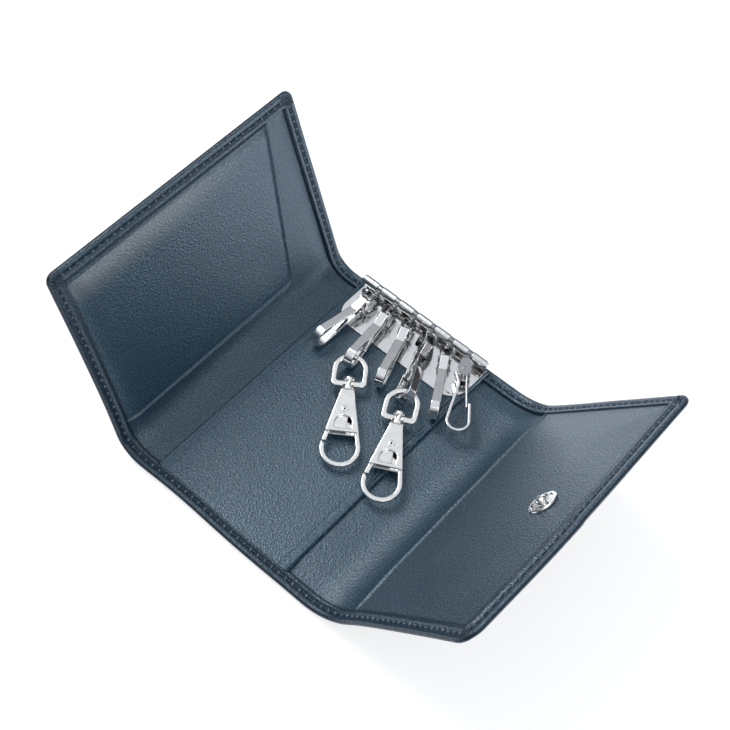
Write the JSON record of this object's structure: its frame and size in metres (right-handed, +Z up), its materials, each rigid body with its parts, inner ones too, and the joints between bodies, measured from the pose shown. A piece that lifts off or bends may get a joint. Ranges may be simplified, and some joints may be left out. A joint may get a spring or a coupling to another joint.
{
  "type": "key case",
  "caption": "Trifold leather key case lying open, with a nickel key rail, sprung swivel hooks, lobster clasps and a snap fastener.",
  "frame": {"origin": "underside of the centre panel, at the middle of the key patch's length and width", "axes": "+X across the folds towards the card pocket, +Y along the folds towards the key rail, +Z up out of the open case"},
  "size_m": [0.1627, 0.103, 0.0708],
  "materials": {
    "outer_leather": "soft sheen",
    "inner_leather": "soft sheen",
    "lining": "soft sheen",
    "core_board": "matt",
    "rail_nickel": "polished",
    "snap_nickel": "polished",
    "hook_nickel": "polished",
    "clasp_nickel": "polished"
  },
  "bodies": {
    "centre_panel": {"outer_leather_centre": "outer_leather", "core_board_centre": "core_board", "lining_centre": "lining", "key_patch": "inner_leather", "rail_plate": "rail_nickel", "rail_rod": "snap_nickel", "rail_rivets": "snap_nickel"},
    "left_spine": {"outer_leather_left_fold": "outer_leather", "lining_left_fold": "lining"},
    "left_flap": {"outer_leather_left": "outer_leather", "core_board_left": "core_board", "lining_left": "lining", "bill_pocket": "inner_leather", "snap_socket": "snap_nickel", "socket_eyelet": "snap_nickel"},
    "right_spine": {"outer_leather_right_fold": "outer_leather", "lining_right_fold": "lining"},
    "right_flap": {"outer_leather_right": "outer_leather", "core_board_right": "core_board", "lining_right": "lining", "card_pocket": "inner_leather", "snap_stud": "snap_nickel", "snap_cap": "snap_nickel"},
    "tongue_1": {"hook_1_tongue": "hook_nickel"},
    "stirrup_1": {"hook_1_stirrup": "hook_nickel"},
    "loop_1": {"hook_1_loop": "hook_nickel"},
    "gate_1": {"hook_1_gate": "hook_nickel"},
    "tongue_2": {"hook_2_tongue": "hook_nickel"},
    "stirrup_2": {"hook_2_stirrup": "hook_nickel"},
    "loop_2": {"hook_2_loop": "hook_nickel"},
    "gate_2": {"hook_2_gate": "hook_nickel"},
    "tongue_3": {"hook_3_tongue": "hook_nickel"},
    "stirrup_3": {"hook_3_stirrup": "hook_nickel"},
    "loop_3": {"hook_3_loop": "hook_nickel"},
    "gate_3": {"hook_3_gate": "hook_nickel"},
    "tongue_4": {"hook_4_tongue": "hook_nickel"},
    "stirrup_4": {"hook_4_stirrup": "hook_nickel"},
    "loop_4": {"hook_4_loop": "hook_nickel"},
    "gate_4": {"hook_4_gate": "hook_nickel"},
    "tongue_5": {"hook_5_tongue": "hook_nickel"},
    "stirrup_5": {"hook_5_stirrup": "hook_nickel"},
    "loop_5": {"hook_5_loop": "hook_nickel"},
    "gate_5": {"hook_5_gate": "hook_nickel"},
    "tongue_6": {"hook_6_tongue": "hook_nickel"},
    "stirrup_6": {"hook_6_stirrup": "hook_nickel"},
    "loop_6": {"hook_6_loop": "hook_nickel"},
    "gate_6": {"hook_6_gate": "hook_nickel"},
    "ring_1": {"clasp_1_ring": "clasp_nickel"},
    "clasp_1": {"clasp_1_post": "clasp_nickel", "clasp_1_body": "clasp_nickel", "clasp_1_rivet": "clasp_nickel"},
    "clasp_gate_1": {"clasp_1_gate": "clasp_nickel"},
    "ring_2": {"clasp_2_ring": "clasp_nickel"},
    "clasp_2": {"clasp_2_post": "clasp_nickel", "clasp_2_body": "clasp_nickel", "clasp_2_rivet": "clasp_nickel"},
    "clasp_gate_2": {"clasp_2_gate": "clasp_nickel"}
  },
  "joints": [
    {"name": "left_fold_inner", "type": "hinge", "parent": "centre_panel", "child": "left_spine", "pos_m": [-0.0319, 0, 0.0022], "axis": [0, 1, 0], "range_deg": [-35.15, 54.85], "deforming": ["outer_leather_left_fold", "lining_left_fold"]},
    {"name": "left_fold_outer", "type": "hinge", "parent": "left_spine", "child": "left_flap", "pos_m": [-0.04095, 0, 0.00858], "axis": [0, 1, 0], "range_deg": [-35.15, 54.85]},
    {"name": "right_fold_inner", "type": "hinge", "parent": "centre_panel", "child": "right_spine", "pos_m": [0.03815, 0, 0.0022], "axis": [0, -1, 0], "range_deg": [-25.32, 64.67], "deforming": ["outer_leather_right_fold", "lining_right_fold"]},
    {"name": "right_fold_outer", "type": "hinge", "parent": "right_spine", "child": "right_flap", "pos_m": [0.05327, 0, 0.00935], "axis": [0, -1, 0], "range_deg": [-25.32, 64.67]},
    {"name": "hook_1_hinge", "type": "hinge", "parent": "centre_panel", "child": "tongue_1", "pos_m": [-0.01912, 0.049, 0.0071], "axis": [1, 0, 0], "range_deg": [-120, 0]},
    {"name": "hook_1_swivel", "type": "hinge", "parent": "tongue_1", "child": "stirrup_1", "pos_m": [-0.01912, 0.0466, 0.00714], "axis": [0.0698, 0.9974, -0.0174], "range_deg": [-180, 180]},
    {"name": "hook_1_pin", "type": "hinge", "parent": "stirrup_1", "child": "loop_1", "pos_m": [-0.01949, 0.04141, 0.00723], "axis": [0.9976, -0.0697, 0.0012], "range_deg": [-60, 0]},
    {"name": "hook_1_gate_spring", "type": "hinge", "parent": "loop_1", "child": "gate_1", "pos_m": [-0.01949, 0.04141, 0.00723], "axis": [-0.9976, 0.0697, -0.0012], "range_deg": [0, 12], "stiffness_Nm_per_rad": 0.0004, "springref_deg": -17.19},
    {"name": "hook_2_hinge", "type": "hinge", "parent": "centre_panel", "child": "tongue_2", "pos_m": [-0.01128, 0.049, 0.0071], "axis": [1, 0, 0], "range_deg": [-120, 0]},
    {"name": "hook_2_swivel", "type": "hinge", "parent": "tongue_2", "child": "stirrup_2", "pos_m": [-0.01128, 0.0466, 0.00714], "axis": [-0.1392, 0.9901, -0.0173], "range_deg": [-180, 0]},
    {"name": "hook_2_pin", "type": "hinge", "parent": "stirrup_2", "child": "loop_2", "pos_m": [-0.01055, 0.04145, 0.00723], "axis": [0.9903, 0.1392, -0.0024], "range_deg": [-60, 0]},
    {"name": "hook_2_gate_spring", "type": "hinge", "parent": "loop_2", "child": "gate_2", "pos_m": [-0.01055, 0.04145, 0.00723], "axis": [-0.9903, -0.1392, 0.0024], "range_deg": [0, 12], "stiffness_Nm_per_rad": 0.0004, "springref_deg": -17.19},
    {"name": "hook_3_hinge", "type": "hinge", "parent": "centre_panel", "child": "tongue_3", "pos_m": [-0.00343, 0.049, 0.0071], "axis": [1, 0, 0], "range_deg": [-120, 0]},
    {"name": "hook_3_swivel", "type": "hinge", "parent": "tongue_3", "child": "stirrup_3", "pos_m": [-0.00343, 0.0466, 0.00714], "axis": [-0.309, 0.9509, -0.0166], "range_deg": [-180, 180]},
    {"name": "hook_3_pin", "type": "hinge", "parent": "stirrup_3", "child": "loop_3", "pos_m": [-0.00182, 0.04166, 0.00723], "axis": [0.9511, 0.309, -0.0054], "range_deg": [-60, 0]},
    {"name": "hook_3_gate_spring", "type": "hinge", "parent": "loop_3", "child": "gate_3", "pos_m": [-0.00182, 0.04166, 0.00723], "axis": [-0.9511, -0.309, 0.0054], "range_deg": [0, 12], "stiffness_Nm_per_rad": 0.0004, "springref_deg": -17.19},
    {"name": "hook_4_hinge", "type": "hinge", "parent": "centre_panel", "child": "tongue_4", "pos_m": [0.00443, 0.049, 0.0071], "axis": [1, 0, 0], "range_deg": [-120, 0]},
    {"name": "hook_4_swivel", "type": "hinge", "parent": "tongue_4", "child": "stirrup_4", "pos_m": [0.00443, 0.0466, 0.00714], "axis": [-0.3746, 0.927, -0.0162], "range_deg": [-40, 0]},
    {"name": "hook_4_pin", "type": "hinge", "parent": "stirrup_4", "child": "loop_4", "pos_m": [0.00637, 0.04178, 0.00723], "axis": [0.7103, 0.2757, -0.6477], "range_deg": [-8, 0]},
    {"name": "hook_4_gate_spring", "type": "hinge", "parent": "loop_4", "child": "gate_4", "pos_m": [0.00637, 0.04178, 0.00723], "axis": [-0.7103, -0.2757, 0.6477], "range_deg": [0, 12], "stiffness_Nm_per_rad": 0.0004, "springref_deg": -17.19},
    {"name": "hook_5_hinge", "type": "hinge", "parent": "centre_panel", "child": "tongue_5", "pos_m": [0.01227, 0.049, 0.0071], "axis": [1, 0, 0], "range_deg": [-120, 0]},
    {"name": "hook_5_swivel", "type": "hinge", "parent": "tongue_5", "child": "stirrup_5", "pos_m": [0.01227, 0.0466, 0.00714], "axis": [-0.5, 0.8659, -0.0151], "range_deg": [-180, 180]},
    {"name": "hook_5_pin", "type": "hinge", "parent": "stirrup_5", "child": "loop_5", "pos_m": [0.01487, 0.0421, 0.00722], "axis": [0.866, 0.4999, -0.0087], "range_deg": [-60, 0]},
    {"name": "hook_5_gate_spring", "type": "hinge", "parent": "loop_5", "child": "gate_5", "pos_m": [0.01487, 0.0421, 0.00722], "axis": [-0.866, -0.4999, 0.0087], "range_deg": [0, 12], "stiffness_Nm_per_rad": 0.0004, "springref_deg": -17.19},
    {"name": "hook_6_hinge", "type": "hinge", "parent": "centre_panel", "child": "tongue_6", "pos_m": [0.02013, 0.049, 0.0071], "axis": [1, 0, 0], "range_deg": [-120, 0]},
    {"name": "hook_6_swivel", "type": "hinge", "parent": "tongue_6", "child": "stirrup_6", "pos_m": [0.02013, 0.0466, 0.00714], "axis": [-0.5446, 0.8385, -0.0146], "range_deg": [-180, 180]},
    {"name": "hook_6_pin", "type": "hinge", "parent": "stirrup_6", "child": "loop_6", "pos_m": [0.02296, 0.04224, 0.00722], "axis": [0, 0.0175, 0.9998], "range_deg": [0, 5]},
    {"name": "hook_6_gate_spring", "type": "hinge", "parent": "loop_6", "child": "gate_6", "pos_m": [0.02296, 0.04224, 0.00722], "axis": [0, -0.0175, -0.9998], "range_deg": [0, 12], "stiffness_Nm_per_rad": 0.0004, "springref_deg": -17.19},
    {"name": "clasp_1_ring_hinge", "type": "hinge", "parent": "loop_2", "child": "ring_1", "pos_m": [-0.00773, 0.0214, 0.00758], "axis": [0.8192, 0.5736, 0], "range_deg": [-80, 0]},
    {"name": "clasp_1_swivel", "type": "hinge", "parent": "ring_1", "child": "clasp_1", "pos_m": [-0.00111, 0.01195, 0.0071], "axis": [-0.5731, 0.8184, 0.0419], "range_deg": [-15, 15]},
    {"name": "clasp_1_gate_spring", "type": "hinge", "parent": "clasp_1", "child": "clasp_gate_1", "pos_m": [0.00407, 0.00454, 0.00672], "axis": [0.024, -0.0343, 0.9991], "range_deg": [0, 15], "stiffness_Nm_per_rad": 0.0004, "springref_deg": -17.19},
    {"name": "clasp_2_ring_hinge", "type": "hinge", "parent": "loop_4", "child": "ring_2", "pos_m": [0.01396, 0.02301, 0.00755], "axis": [0.8829, 0.4695, 0], "range_deg": [-22, 0]},
    {"name": "clasp_2_swivel", "type": "hinge", "parent": "ring_2", "child": "clasp_2", "pos_m": [0.01938, 0.01282, 0.00707], "axis": [-0.4691, 0.8822, 0.0419], "range_deg": [-15, 15]},
    {"name": "clasp_2_gate_spring", "type": "hinge", "parent": "clasp_2", "child": "clasp_gate_2", "pos_m": [0.02362, 0.00483, 0.00669], "axis": [0.0197, -0.037, 0.9991], "range_deg": [0, 15], "stiffness_Nm_per_rad": 0.0004, "springref_deg": -17.19}
  ],
  "couplings": [
    {"joint": "left_fold_outer", "follows": "left_fold_inner", "ratio": 1},
    {"joint": "right_fold_outer", "follows": "right_fold_inner", "ratio": 1}
  ]
}
